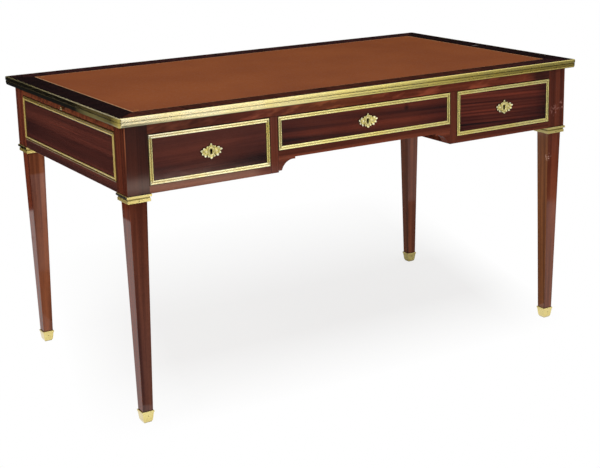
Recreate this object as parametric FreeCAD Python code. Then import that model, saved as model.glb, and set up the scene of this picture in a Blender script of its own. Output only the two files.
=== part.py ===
import FreeCAD, Part
import os

# A writing desk of the bureau plat kind: a leather top with a brass edge on a frieze of three locking
# drawers over a kneehole, a pull-out slide in each end, and four square tapered legs with brass mounts.
# Millimetres. The origin is on the floor under the middle of the desk. The sitter is at -Y, +Z is up.

V = FreeCAD.Vector
X_AXIS = V(1, 0, 0)
Y_AXIS = V(0, 1, 0)
Z_AXIS = V(0, 0, 1)
ORIGIN = V(0, 0, 0)

# Overall size
overall_width = 1380.0
overall_depth = 765.0
overall_height = 760.0

# Top: a board under crossbanding and leather, inside a brass edge
end_overhang = 21.0
front_overhang = 22.0
top_thickness = 22.0
edge_depth = 6.0
edge_inner_radius = 1.0
edge_band_height = 9.0
edge_band_crown = 0.3
edge_round = 2.0
edge_groove_height = 2.0
edge_groove_depth = 2.2
edge_lower_step = 1.0
edge_lower_fall = 1.6
border_width = 56.0
border_thickness = 2.5
leather_thickness = 2.0
inlay_clearance = 0.2

# Legs and their brass mounts
block_width = 57.0
leg_top_width = 45.0
leg_foot_width = 27.0
collar_height = 17.5
collar_band_height = 5.5
collar_band_proud = 3.2
collar_neck_proud = -0.6
collar_foot_proud = 0.8
collar_foot_height = 8.0
sabot_height = 30.0
sabot_floor = 4.0
sabot_rim_height = 4.5
sabot_rim_proud = 2.4
sabot_wall = 1.3
sabot_base_width = 24.0
sabot_base_height = 5.5
sabot_base_inset = 2.2
mount_clearance = 0.1
rim_slope = 0.4

# Frieze: rails, dividers and boards between the leg blocks
frieze_height = 166.5
kneehole_rise = 33.5
top_rail_height = 26.5
side_rail_height = 18.5
centre_rail_height = 20.5
rail_depth = 24.0
muntin_width = 22.5
centre_opening = 530.0
end_thickness = 20.0
back_thickness = 20.0
end_rail_height = 23.5
end_top_margin = 2.2

# Shaped brackets in the upper corners of the kneehole
bracket_foot = 9.0
bracket_reach = 48.0
bracket_lift = 4.0
bracket_drop = 5.0

# Brass frame mouldings
moulding_width = 10.0
moulding_let_in = 3.0
moulding_proud = 2.0
moulding_bead = 4.4
moulding_bead_rise = 1.3

# Drawers
drawer_gap = 1.0
runner_clearance = 0.3
drawer_front_thickness = 20.0
drawer_side_thickness = 10.0
drawer_back_thickness = 10.0
drawer_back_gap = 40.0
drawer_back_drop = 4.0
drawer_side_drop = 9.0
bottom_thickness = 6.0
bottom_rise = 5.0
groove_depth = 4.0
joint_clearance = 0.1
dovetail_lap = 5.0
dovetail_pitch = 28.0
dovetail_share = 0.55
dovetail_flare = 2.0

# Drawer runners
runner_height = 14.0
runner_width = 16.0
guide_height = 20.0

# Locks
lock_width = 62.0
lock_thickness = 9.0
lock_below_key = 16.0
lock_back_plate = 2.0
lock_recess_clearance = 0.2
bolt_width = 26.0
bolt_thickness = 4.4
bolt_height = 22.0
bolt_clearance = 0.3
bolt_set_back = 0.5
mortise_depth = 8.0
mortise_clearance = 1.0
keyhole_radius = 2.4
keyhole_slot_width = 3.0
keyhole_slot_length = 7.5
keyhole_lift = 2.8

# Escutcheons
escutcheon_thickness = 2.5
escutcheon_oval_width = 21.0
escutcheon_oval_height = 25.0
escutcheon_rim_width = 3.0
escutcheon_rim_height = 1.2
scroll_reach = 16.5
scroll_drop = 1.0
scroll_radius = 7.0
leaf_length = 14.0
leaf_width = 6.5
leaf_angles = (58.0, 20.0, -20.0, -62.0)
finial_length = 18.0
finial_width = 7.0

# End slides
slide_thickness = 19.5
slide_head_gap = 1.5
slide_side_gap = 1.0
slide_tail_gap = 3.0
slide_seat = 0.3
slide_leather_margin = 42.0
slide_leather_thickness = 1.5
bearer_height = 12.0
bearer_width = 20.0
knob_reach = 13.0
knob_radius = 5.0
knob_neck_radius = 2.4
knob_tang = 9.0

# Places worked out from the sizes above
carcase_x = overall_width / 2.0 - end_overhang
carcase_y = overall_depth / 2.0 - front_overhang
block_x = carcase_x - block_width
block_y = carcase_y - block_width
underside = overall_height - top_thickness
frieze_bottom = underside - frieze_height
kneehole_top = frieze_bottom + kneehole_rise
top_rail_bottom = underside - top_rail_height
side_rail_top = frieze_bottom + side_rail_height
centre_rail_top = kneehole_top + centre_rail_height
centre_half = centre_opening / 2.0
muntin_outer = centre_half + muntin_width
rail_back = rail_depth - carcase_y
back_inner = carcase_y - back_thickness
end_inner = carcase_x - end_thickness
slide_top = underside - slide_head_gap
slide_bottom = slide_top - slide_thickness
end_panel_top = slide_bottom - slide_seat
collar_bottom = frieze_bottom - collar_height
corner_radius = edge_depth + edge_inner_radius
drawer_top = top_rail_bottom - drawer_gap

# The three drawers: name, left edge, right edge and bottom of each front
side_outer = block_x - drawer_gap
side_inner = muntin_outer + drawer_gap
side_bottom = side_rail_top + drawer_gap
centre_edge = centre_half - drawer_gap
centre_bottom = centre_rail_top + drawer_gap
drawers = (
    ("left", -side_outer, -side_inner, side_bottom),
    ("centre", -centre_edge, centre_edge, centre_bottom),
    ("right", side_inner, side_outer, side_bottom),
)
corners = (
    ("front_left", -1, -1),
    ("front_right", 1, -1),
    ("back_left", -1, 1),
    ("back_right", 1, 1),
)
ends = (("left", -1), ("right", 1))


def box(x0, x1, y0, y1, z0, z1):
    """A block between two corners, given in either order."""
    low = V(min(x0, x1), min(y0, y1), min(z0, z1))
    return Part.makeBox(abs(x1 - x0), abs(y1 - y0), abs(z1 - z0), low)


def prism(points, along):
    """A closed outline carried along a direction."""
    return Part.Face(Part.makePolygon(points + points[:1])).extrude(along)


def line(a, b):
    return Part.LineSegment(a, b).toShape()


def arc(a, b, c):
    return Part.Arc(a, b, c).toShape()


def square_stack(sections):
    """A square post through a list of heights and half widths."""
    wires = []
    for z, half in sections:
        ring = [V(-half, -half, z), V(half, -half, z), V(half, half, z), V(-half, half, z)]
        wires.append(Part.makePolygon(ring + ring[:1]))
    return Part.makeLoft(wires, True, True)


def rounded_board(half_x, half_y, radius, z0, z1):
    """A board with its four upright corners rounded."""
    board = box(-half_x, half_x, -half_y, half_y, z0, z1)
    upright = [edge for edge in board.Edges if abs(edge.tangentAt(edge.FirstParameter).z) > 0.5]
    return board.makeFillet(radius, upright)


def save(node, *shapes):
    """Write one piece, or one group of like pieces, under its name."""
    solids = [solid for shape in shapes for solid in shape.Solids]
    piece = solids[0] if len(solids) == 1 else Part.makeCompound(solids)
    piece.exportStep("parts/" + node + ".step")


# Top

def edge_section(x, y):
    """The brass edge cut across: a crowned band, a groove and a lower band that falls away."""
    top = overall_height

    def at(inward, down):
        return V(x, y + inward, top - down)

    crown = edge_band_crown
    turn = edge_round * (1.0 - 0.5 ** 0.5)
    groove_end = edge_band_height + edge_groove_height
    bend_in = edge_lower_step + edge_lower_fall * (1.0 - 0.5 ** 0.5)
    bend_down = groove_end + (top_thickness - groove_end) * 0.5 ** 0.5
    edges = [
        line(at(edge_depth, 0), at(crown + edge_round, 0)),
        arc(at(crown + edge_round, 0), at(crown + turn, turn), at(crown, edge_round)),
        arc(at(crown, edge_round), at(0, (edge_round + edge_band_height) / 2.0), at(crown, edge_band_height)),
        line(at(crown, edge_band_height), at(edge_groove_depth, edge_band_height)),
        line(at(edge_groove_depth, edge_band_height), at(edge_groove_depth, groove_end)),
        line(at(edge_groove_depth, groove_end), at(edge_lower_step, groove_end)),
        arc(at(edge_lower_step, groove_end), at(bend_in, bend_down),
            at(edge_lower_step + edge_lower_fall, top_thickness)),
        line(at(edge_lower_step + edge_lower_fall, top_thickness), at(edge_depth, top_thickness)),
        line(at(edge_depth, top_thickness), at(edge_depth, 0)),
    ]
    return Part.Face(Part.Wire(edges))


def edge_length(half_length, reach):
    """One length of brass edge, with half of a rounded corner at each end up to the mitre."""
    straight = half_length - corner_radius
    hub_y = corner_radius - reach
    start = edge_section(-straight, -reach)
    finish = edge_section(straight, -reach)
    bar = start.extrude(V(2.0 * straight, 0, 0))
    left_turn = start.revolve(V(-straight, hub_y, 0), Z_AXIS, -45)
    right_turn = finish.revolve(V(straight, hub_y, 0), Z_AXIS, 45)
    return bar.fuse([left_turn, right_turn]).removeSplitter()


def top_pieces():
    half_x = overall_width / 2.0
    half_y = overall_depth / 2.0
    core_x = half_x - edge_depth
    core_y = half_y - edge_depth
    board_top = overall_height - border_thickness
    save("top_panel", rounded_board(core_x, core_y, edge_inner_radius, underside, board_top))

    lengths = []
    for turn, half_length, reach in ((0, half_x, half_y), (90, half_y, half_x),
                                     (180, half_x, half_y), (270, half_y, half_x)):
        lengths.append(edge_length(half_length, reach).rotated(ORIGIN, Z_AXIS, turn))
    save("top_edge_moulding", *lengths)

    inner_x = core_x - border_width
    inner_y = core_y - border_width
    sheet = rounded_board(core_x, core_y, edge_inner_radius, board_top, overall_height)
    strips = []
    for turn, out_x, out_y, in_x, in_y in ((0, core_x, core_y, inner_x, inner_y),
                                           (90, core_y, core_x, inner_y, inner_x),
                                           (180, core_x, core_y, inner_x, inner_y),
                                           (270, core_y, core_x, inner_y, inner_x)):
        outline = [V(-out_x, -out_y, board_top), V(out_x, -out_y, board_top),
                   V(in_x, -in_y, board_top), V(-in_x, -in_y, board_top)]
        strip = prism(outline, V(0, 0, border_thickness)).rotated(ORIGIN, Z_AXIS, turn)
        strips.append(strip.common(sheet))
    save("top_border", *strips)

    hide_x = inner_x - inlay_clearance
    hide_y = inner_y - inlay_clearance
    save("writing_leather", box(-hide_x, hide_x, -hide_y, hide_y, board_top, board_top + leather_thickness))


# Legs

def leg_half(z):
    """Half the width of the tapered leg at a height."""
    share = (z - sabot_height) / (collar_bottom - sabot_height)
    return (leg_foot_width + (leg_top_width - leg_foot_width) * share) / 2.0


def leg_shaft(extra):
    """The tapered leg below its block, with its foot cut down to stand inside the brass shoe."""
    foot_half = sabot_base_width / 2.0 - sabot_wall
    return square_stack([(sabot_floor - extra, foot_half + extra),
                         (sabot_height, leg_half(sabot_height) + extra),
                         (frieze_bottom, leg_half(frieze_bottom) + extra)])


def leg_block():
    half = block_width / 2.0
    return box(-half, half, -half, half, frieze_bottom, underside)


def collar():
    """The brass band under the block: a proud fillet, a hollow and a plainer band below it."""
    half = block_width / 2.0
    band_bottom = frieze_bottom - collar_band_height
    foot_top = collar_bottom + collar_foot_height
    ring = square_stack([
        (collar_bottom, half + collar_foot_proud - rim_slope),
        (collar_bottom + rim_slope, half + collar_foot_proud),
        (foot_top - rim_slope, half + collar_foot_proud),
        (foot_top, half + collar_neck_proud),
        (band_bottom - rim_slope, half + collar_neck_proud),
        (band_bottom, half + collar_band_proud),
        (frieze_bottom - rim_slope, half + collar_band_proud),
        (frieze_bottom, half + collar_band_proud - rim_slope),
    ])
    return ring.cut(leg_shaft(mount_clearance))


def sabot():
    """The brass shoe: a square cup with a rim, a tapered body and a chamfered base."""
    rim_bottom = sabot_height - sabot_rim_height
    rim_half = leg_foot_width / 2.0 + sabot_rim_proud
    body_half = leg_foot_width / 2.0 + sabot_wall
    base_half = sabot_base_width / 2.0
    cup = square_stack([
        (0.0, base_half - sabot_base_inset),
        (sabot_base_height, base_half + rim_slope),
        (rim_bottom - rim_slope, body_half),
        (rim_bottom, rim_half),
        (sabot_height - rim_slope, rim_half),
        (sabot_height, rim_half - rim_slope),
    ])
    return cup.cut(leg_shaft(mount_clearance))


def leg_pieces():
    collars = []
    for name, side_x, side_y in corners:
        place = V(side_x * (carcase_x - block_width / 2.0), side_y * (carcase_y - block_width / 2.0), 0)
        save("leg_" + name, leg_block().fuse(leg_shaft(0.0)).translated(place))
        save("sabot_" + name, sabot().translated(place))
        collars.append(collar().translated(place))
    save("leg_collars", *collars)


# Brass frame mouldings

def moulding_bar(length):
    """One side of a frame: two beads with mitred ends, outer edge on Z zero, facing -Y from the plane Y zero."""
    start = -length / 2.0
    inner_bead = moulding_width - moulding_bead
    shoulder = moulding_proud - moulding_bead_rise

    def at(inward, out):
        return V(start, -out, inward)

    edges = [
        line(at(0, -moulding_let_in), at(0, shoulder)),
        arc(at(0, shoulder), at(moulding_bead / 2.0, moulding_proud), at(moulding_bead, shoulder)),
        line(at(moulding_bead, shoulder), at(inner_bead, shoulder)),
        arc(at(inner_bead, shoulder), at(inner_bead + moulding_bead / 2.0, moulding_proud),
            at(moulding_width, shoulder)),
        line(at(moulding_width, shoulder), at(moulding_width, -moulding_let_in)),
        line(at(moulding_width, -moulding_let_in), at(0, -moulding_let_in)),
    ]
    bar = Part.Face(Part.Wire(edges)).extrude(V(length, 0, 0))
    back = moulding_let_in
    outline = [V(start, back, 0), V(-start, back, 0),
               V(-start - moulding_width, back, moulding_width),
               V(start + moulding_width, back, moulding_width)]
    return bar.common(prism(outline, V(0, -moulding_let_in - moulding_proud, 0)))


def moulding_frame(width, height, centre):
    """Four mitred bars round a field that faces -Y."""
    bars = []
    for turn, length, reach in ((0, width, height), (90, height, width),
                                (180, width, height), (270, height, width)):
        bar = moulding_bar(length).translated(V(0, 0, -reach / 2.0))
        bars.append(bar.rotated(ORIGIN, Y_AXIS, turn).translated(centre))
    return bars


def moulding_seat(width, height, centre):
    """The rebate that a frame is let into, a little wider on its inner side."""
    half_x = width / 2.0
    half_z = height / 2.0
    hole_x = half_x - moulding_width - mount_clearance
    hole_z = half_z - moulding_width - mount_clearance
    outer = box(-half_x, half_x, 0, moulding_let_in, -half_z, half_z)
    inner = box(-hole_x, hole_x, 0, moulding_let_in, -hole_z, hole_z)
    return outer.cut(inner).translated(centre)


# Frieze

def end_pieces():
    field_width = 2.0 * (block_y - drawer_gap)
    field_bottom = frieze_bottom + end_rail_height
    field_top = end_panel_top - end_top_margin
    field_height = field_top - field_bottom
    centre = V(0, -carcase_x, (field_bottom + field_top) / 2.0)
    board = box(-block_y, block_y, -carcase_x, -end_inner, frieze_bottom, end_panel_top)
    board = board.cut(moulding_seat(field_width, field_height, centre))
    bars = moulding_frame(field_width, field_height, centre)
    for name, side in ends:
        turn = 90 * side
        save("end_panel_" + name, board.rotated(ORIGIN, Z_AXIS, turn))
        save("end_moulding_" + name, *[bar.rotated(ORIGIN, Z_AXIS, turn) for bar in bars])


def bracket(thickness_low, thickness_high):
    """A shaped corner of the kneehole on its left side: a foot, a hollow curve and a small drop."""
    left = -centre_half
    foot_z = frieze_bottom + bracket_lift
    drop_z = kneehole_top - bracket_drop
    foot_x = left + bracket_foot
    tip_x = left + bracket_reach
    bend = 1.0 - 0.5 ** 0.5

    def at(x, z):
        return V(x, thickness_low, z)

    bend_point = at(foot_x + (tip_x - foot_x) * bend, drop_z - (drop_z - foot_z) * bend)
    edges = [
        line(at(left, kneehole_top), at(left, foot_z)),
        line(at(left, foot_z), at(foot_x, foot_z)),
        arc(at(foot_x, foot_z), bend_point, at(tip_x, drop_z)),
        line(at(tip_x, drop_z), at(tip_x, kneehole_top)),
        line(at(tip_x, kneehole_top), at(left, kneehole_top)),
    ]
    return Part.Face(Part.Wire(edges)).extrude(V(0, thickness_high - thickness_low, 0))


def back_pieces():
    board = box(-block_x, block_x, back_inner, carcase_y, frieze_bottom, underside)
    board = board.cut(box(-centre_half, centre_half, back_inner, carcase_y, frieze_bottom, kneehole_top))
    bars = []
    for name, low_x, high_x, bottom in drawers:
        width = high_x - low_x
        height = drawer_top - bottom
        centre = V((low_x + high_x) / 2.0, -carcase_y, (bottom + drawer_top) / 2.0)
        board = board.cut(moulding_seat(width, height, centre).rotated(ORIGIN, Z_AXIS, 180))
        bars += [bar.rotated(ORIGIN, Z_AXIS, 180) for bar in moulding_frame(width, height, centre)]
    save("back_frieze", board)
    save("back_mouldings", *bars)


def front_pieces():
    front = -carcase_y
    rail = box(-block_x, block_x, front, rail_back, top_rail_bottom, underside)
    for name, low_x, high_x, bottom in drawers:
        rail = rail.cut(bolt_mortise((low_x + high_x) / 2.0))
    save("front_top_rail", rail)
    save("front_rail_left", box(-block_x, -muntin_outer, front, rail_back, frieze_bottom, side_rail_top))
    save("front_rail_right", box(muntin_outer, block_x, front, rail_back, frieze_bottom, side_rail_top))
    save("front_rail_centre", box(-centre_half, centre_half, front, rail_back, kneehole_top, centre_rail_top))
    brackets = []
    for name, side in ends:
        inner = side * centre_half
        outer = side * muntin_outer
        save("muntin_" + name, box(inner, outer, front, rail_back, frieze_bottom, top_rail_bottom))
        save("partition_" + name, box(inner, outer, rail_back, back_inner, frieze_bottom, underside))
    for low, high in ((front, rail_back), (back_inner, carcase_y)):
        left = bracket(low, high)
        brackets += [left, left.mirror(ORIGIN, X_AXIS)]
    save("kneehole_brackets", *brackets)


def runner_pieces():
    """Runners under the drawers' sides. The outer ones carry a guide that stands behind the leg blocks."""
    runners = []
    for side in (-1, 1):
        top = side_bottom - runner_clearance
        low = top - runner_height
        tread = box(side * block_x, side * (block_x - runner_width), rail_back, back_inner, low, top)
        shelf = box(side * end_inner, side * block_x, -block_y, block_y, low, top)
        guide = box(side * end_inner, side * block_x, -block_y, block_y, top, top + guide_height)
        runners.append(tread.fuse([shelf, guide]).removeSplitter())
        face = side * muntin_outer
        runners.append(box(face, face + side * runner_width, rail_back, back_inner, low, top))
        top = centre_bottom - runner_clearance
        face = side * centre_half
        runners.append(box(face, face - side * runner_width, rail_back, back_inner, top - runner_height, top))
    save("drawer_runners", *runners)


# Locks

def keyhole(x, z, low_y, high_y):
    """A round eye a little above the plate's middle with a slot below it, cut from front to back."""
    eye_z = z + keyhole_lift
    eye = Part.makeCylinder(keyhole_radius, high_y - low_y, V(x, low_y, eye_z), Y_AXIS)
    half = keyhole_slot_width / 2.0
    return eye.fuse(box(x - half, x + half, low_y, high_y, eye_z - keyhole_slot_length, eye_z))


def bolt_box(x, low_z, high_z, extra):
    """The space of a bolt in its lock, grown on all four sides."""
    middle = drawer_front_thickness - carcase_y - lock_thickness / 2.0
    half_x = bolt_width / 2.0 + extra
    half_y = bolt_thickness / 2.0 + extra
    return box(x - half_x, x + half_x, middle - half_y, middle + half_y, low_z, high_z)


def bolt_mortise(x):
    return bolt_box(x, top_rail_bottom, top_rail_bottom + mortise_depth, mortise_clearance)


# Escutcheons

def oval(x, z, width, height, y, thickness):
    """A flat oval that faces -Y."""
    ring = Part.makeCircle(width / 2.0, ORIGIN, Y_AXIS)
    stretch = FreeCAD.Matrix()
    stretch.scale(1.0, 1.0, height / width)
    face = Part.Face(Part.Wire([ring.transformGeometry(stretch)])).translated(V(x, y, z))
    return face.extrude(V(0, -thickness, 0))


def leaf(root, angle, length, width, thickness):
    """A pointed leaf of two arcs, laid out from its root at an angle above the horizontal."""
    tip = V(length, 0, 0)
    upper = arc(ORIGIN, V(length / 2.0, 0, width / 2.0), tip)
    lower = arc(tip, V(length / 2.0, 0, -width / 2.0), ORIGIN)
    blade = Part.Face(Part.Wire([upper, lower])).extrude(V(0, -thickness, 0))
    return blade.rotated(ORIGIN, Y_AXIS, -angle).translated(root)


def escutcheon(x, z):
    """A cast key plate: an oval with a raised rim, a leafy scroll each side and a finial above and below."""
    face = -carcase_y
    depth = escutcheon_thickness
    plate = oval(x, z, escutcheon_oval_width, escutcheon_oval_height, face, depth)
    parts = []
    for side in (-1, 1):
        hub = V(x + side * scroll_reach, face, z - scroll_drop)
        parts.append(Part.makeCylinder(scroll_radius, depth, hub, V(0, -1, 0)))
        for angle in leaf_angles:
            turn = angle if side > 0 else 180.0 - angle
            parts.append(leaf(hub, turn, leaf_length, leaf_width, depth))
    for angle in (90.0, -90.0):
        parts.append(leaf(V(x, face, z), angle, finial_length, finial_width, depth))
    rim = oval(x, z, escutcheon_oval_width, escutcheon_oval_height, face, depth + escutcheon_rim_height)
    inset = 2.0 * escutcheon_rim_width
    well = oval(x, z, escutcheon_oval_width - inset, escutcheon_oval_height - inset, face - depth, depth)
    parts.append(rim.cut(well))
    deepest = face - depth - escutcheon_rim_height
    return plate.fuse(parts).removeSplitter().cut(keyhole(x, z, deepest, face))


# Drawers

def tails(side_x0, side_x1, base_y, end_y, low_z, high_z, extra):
    """The dovetails on the front end of a drawer side."""
    count = max(2, round((high_z - low_z) / dovetail_pitch))
    pitch = (high_z - low_z) / count
    base = pitch * dovetail_share / 2.0 + extra
    tip = base + dovetail_flare
    shapes = []
    for index in range(count):
        z = low_z + (index + 0.5) * pitch
        outline = [V(side_x0, base_y, z - base), V(side_x0, end_y - extra, z - tip),
                   V(side_x0, end_y - extra, z + tip), V(side_x0, base_y, z + base)]
        shapes.append(prism(outline, V(side_x1 - side_x0, 0, 0)))
    return shapes


def drawer_pieces(name, low_x, high_x, bottom):
    front_y = -carcase_y
    inside_y = front_y + drawer_front_thickness
    end_y = back_inner - drawer_back_gap
    tail_y = front_y + dovetail_lap
    side_top = drawer_top - drawer_side_drop
    middle = (low_x + high_x) / 2.0
    key_z = (bottom + drawer_top) / 2.0
    width = high_x - low_x
    height = drawer_top - bottom
    centre = V(middle, front_y, key_z)

    floor_low = bottom + bottom_rise
    floor_high = floor_low + bottom_thickness
    tongue_x = drawer_side_thickness - groove_depth
    floor = box(low_x + tongue_x, high_x - tongue_x, inside_y - groove_depth, end_y, floor_low, floor_high)
    slack = joint_clearance
    groove = box(low_x + tongue_x - slack, high_x - tongue_x + slack, inside_y - groove_depth - slack, end_y,
                 floor_low - slack, floor_high + slack)

    front = box(low_x, high_x, front_y, inside_y, bottom, drawer_top).cut(groove)
    front = front.cut(moulding_seat(width, height, centre))
    sides = []
    for outer, inner in ((low_x, low_x + drawer_side_thickness), (high_x, high_x - drawer_side_thickness)):
        board = box(outer, inner, inside_y, end_y, bottom, side_top)
        board = board.fuse(tails(outer, inner, inside_y, tail_y, bottom, side_top, 0.0)).removeSplitter()
        sides.append(board.cut(groove))
        reach = inner + slack if inner > outer else inner - slack
        front = front.cut(tails(outer, reach, inside_y, tail_y, bottom, side_top, slack))

    case_low = key_z - lock_below_key
    case_y = inside_y - lock_thickness
    half = lock_width / 2.0
    loose = half + lock_recess_clearance
    front = front.cut(box(middle - loose, middle + loose, case_y, inside_y,
                          case_low - lock_recess_clearance, drawer_top))
    front = front.cut(keyhole(middle, key_z, front_y, inside_y))

    bolt_top = drawer_top - bolt_set_back
    bolt_low = bolt_top - bolt_height
    case = box(middle - half, middle + half, case_y, inside_y, case_low, drawer_top)
    case = case.cut(bolt_box(middle, bolt_low - bolt_clearance, drawer_top, bolt_clearance))
    case = case.cut(keyhole(middle, key_z, case_y, inside_y - lock_back_plate))

    tail_board = box(low_x + drawer_side_thickness, high_x - drawer_side_thickness,
                     end_y - drawer_back_thickness, end_y, floor_high + slack, side_top - drawer_back_drop)

    label = "drawer_" + name
    save(label + "_front", front)
    save(label + "_sides", *sides)
    save(label + "_back", tail_board)
    save(label + "_bottom", floor)
    save(label + "_moulding", *moulding_frame(width, height, centre))
    save(label + "_escutcheon", escutcheon(middle, key_z))
    save(label + "_lock_case", case)
    save(label + "_lock_bolt", bolt_box(middle, bolt_low, bolt_top, 0.0))


# End slides

def knob():
    """A turned brass pull along +X from zero, with a tang behind it."""
    neck_end = knob_reach - knob_radius
    meet = neck_end - (knob_radius ** 2 - knob_neck_radius ** 2) ** 0.5
    ball = Part.makeSphere(knob_radius, V(neck_end, 0, 0))
    neck = Part.makeCylinder(knob_neck_radius, meet + knob_tang + knob_radius / 2.0, V(-knob_tang, 0, 0), X_AXIS)
    return ball.fuse(neck).removeSplitter()


def slide_pieces():
    half_y = block_y - slide_side_gap
    tail_x = muntin_outer + slide_tail_gap
    middle_z = (slide_bottom + slide_top) / 2.0
    bearers = []
    for name, side in ends:
        board = box(side * carcase_x, side * tail_x, -half_y, half_y, slide_bottom, slide_top)
        hide_low = slide_top - slide_leather_thickness
        near = side * (carcase_x - slide_leather_margin)
        far = side * (tail_x + slide_leather_margin)
        hide_y = half_y - slide_leather_margin
        board = board.cut(box(near, far, -hide_y, hide_y, hide_low, slide_top))
        hole = Part.makeCylinder(knob_neck_radius + mount_clearance, knob_tang,
                                 V(side * carcase_x, 0, middle_z), V(-side, 0, 0))
        save("slide_board_" + name, board.cut(hole))
        inset = side * inlay_clearance
        save("slide_leather_" + name,
             box(near - inset, far + inset, -hide_y + inlay_clearance, hide_y - inlay_clearance,
                 hide_low, slide_top))
        turn = 0 if side > 0 else 180
        pull = knob().rotated(ORIGIN, Z_AXIS, turn).translated(V(side * carcase_x, 0, middle_z))
        save("slide_knob_" + name, pull)
        for edge in (-1, 1):
            bearers.append(box(side * end_inner, side * muntin_outer, edge * block_y,
                               edge * (block_y - bearer_width), end_panel_top - bearer_height, end_panel_top))
    save("slide_bearers", *bearers)


os.makedirs("parts", exist_ok=True)
top_pieces()
leg_pieces()
end_pieces()
back_pieces()
front_pieces()
runner_pieces()
for drawer in drawers:
    drawer_pieces(*drawer)
slide_pieces()
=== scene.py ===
import math

import bmesh
import bpy
from mathutils import Matrix, Vector


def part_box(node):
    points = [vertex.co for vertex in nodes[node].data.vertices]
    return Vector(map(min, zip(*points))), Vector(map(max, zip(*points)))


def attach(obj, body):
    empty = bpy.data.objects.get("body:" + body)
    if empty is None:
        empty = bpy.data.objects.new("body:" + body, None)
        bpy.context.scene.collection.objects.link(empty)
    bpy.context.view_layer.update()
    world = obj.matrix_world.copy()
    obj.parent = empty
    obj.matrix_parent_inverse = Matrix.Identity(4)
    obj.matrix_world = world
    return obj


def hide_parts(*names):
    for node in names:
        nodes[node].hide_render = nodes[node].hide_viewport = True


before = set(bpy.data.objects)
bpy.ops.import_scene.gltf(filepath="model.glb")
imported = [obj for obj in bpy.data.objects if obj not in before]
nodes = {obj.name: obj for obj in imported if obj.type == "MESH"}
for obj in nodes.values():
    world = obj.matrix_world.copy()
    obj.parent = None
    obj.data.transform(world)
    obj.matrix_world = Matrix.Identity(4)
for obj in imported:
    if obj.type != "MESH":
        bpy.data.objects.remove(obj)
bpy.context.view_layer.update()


# Legs: four square legs of solid mahogany, tapered below a plain block that frames the frieze.
# The grain runs up each leg. They are stained red brown and French polished, with rubbed arrises.

def paint(red, green, blue):
    """A colour as it looks on screen, from 0 to 255, as the linear colour that a shader takes."""
    linear = []
    for value in (red, green, blue):
        share = value / 255.0
        linear.append(share / 12.92 if share <= 0.04045 else ((share + 0.055) / 1.055) ** 2.4)
    return (*linear, 1.0)


def shader_of(material):
    return material.node_tree.nodes["Principled BSDF"]


def start_finish(name):
    """A new material with its node tree and shader."""
    material = bpy.data.materials.new(name)
    material.use_nodes = True
    return material, material.node_tree, shader_of(material)


def join(tree, node, inputs):
    """Set a node's sockets to values, or join them to what other sockets give."""
    for socket, value in inputs.items():
        if isinstance(value, bpy.types.NodeSocket):
            tree.links.new(value, node.inputs[socket])
        else:
            node.inputs[socket].default_value = value


def add(tree, kind, inputs=None, **settings):
    """A node of a kind, with its settings made and its sockets set or joined."""
    made = tree.nodes.new("ShaderNode" + kind)
    for setting, value in settings.items():
        setattr(made, setting, value)
    join(tree, made, inputs or {})
    return made


def noise(tree, place, detail=2.0, roughness=0.5, distortion=0.0):
    """Cloudy noise at a place that is already drawn out to scale."""
    values = {"Vector": place, "Scale": 1.0, "Detail": detail}
    values.update({"Roughness": roughness, "Distortion": distortion})
    return add(tree, "TexNoise", values).outputs["Fac"]


def place_on(tree):
    """The place on the piece, in the desk's frame and in metres."""
    return add(tree, "TexCoord").outputs["Object"]


def coordinate(tree, axis):
    """One coordinate of the place on the piece."""
    return add(tree, "SeparateXYZ", {"Vector": place_on(tree)}).outputs[axis]


def distance(tree, place, point):
    return add(tree, "VectorMath", {0: place, 1: point}, operation="DISTANCE").outputs["Value"]


def reckon(tree, operation, *values):
    """One step of arithmetic on numbers or masks."""
    return add(tree, "Math", dict(enumerate(values)), operation=operation).outputs["Value"]


def spread(tree, value, low, high, to_low=0.0, to_high=1.0):
    """One range of values stretched over another, and held at its ends."""
    values = {"Value": value, "From Min": low, "From Max": high, "To Min": to_low, "To Max": to_high}
    return add(tree, "MapRange", values).outputs["Result"]


def both(tree, first, second):
    """A mask that is 1 only where two masks are."""
    return reckon(tree, "MULTIPLY", first, second)


def blend(tree, factor, first, second, mode="MIX"):
    """Two colours laid over each other. They are sockets 6 and 7 of the node, and the result is 2."""
    sockets = {"Factor": factor, 6: first, 7: second}
    return add(tree, "Mix", sockets, data_type="RGBA", blend_type=mode).outputs[2]


def stretched(tree, grain, along, across, turn=0.0):
    """Places on the piece, drawn out along the grain. Scales are cycles to the metre."""
    place = place_on(tree)
    scale = [across, across, across]
    scale["XYZ".index(grain)] = along
    if turn:
        tilt = [0.0, 0.0, 0.0]
        tilt[1 if grain == "X" else 0] = math.radians(turn)
        place = add(tree, "Mapping", {"Vector": place, "Rotation": tilt}).outputs["Vector"]
    return add(tree, "Mapping", {"Vector": place, "Scale": scale}).outputs["Vector"]


def rubbed_edges(tree, width, reach):
    """Softened arrises: the normal to shade with, and a mask that is 1 on the arris itself."""
    soft = add(tree, "Bevel", {"Radius": width}, samples=4).outputs["Normal"]
    wide = add(tree, "Bevel", {"Radius": reach}, samples=4).outputs["Normal"]
    flat = add(tree, "NewGeometry").outputs["Normal"]
    facing = add(tree, "VectorMath", {0: wide, 1: flat}, operation="DOT_PRODUCT").outputs["Value"]
    return soft, spread(tree, facing, 0.9, 0.995, 1.0, 0.0)


full_polish = 0.8


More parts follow.
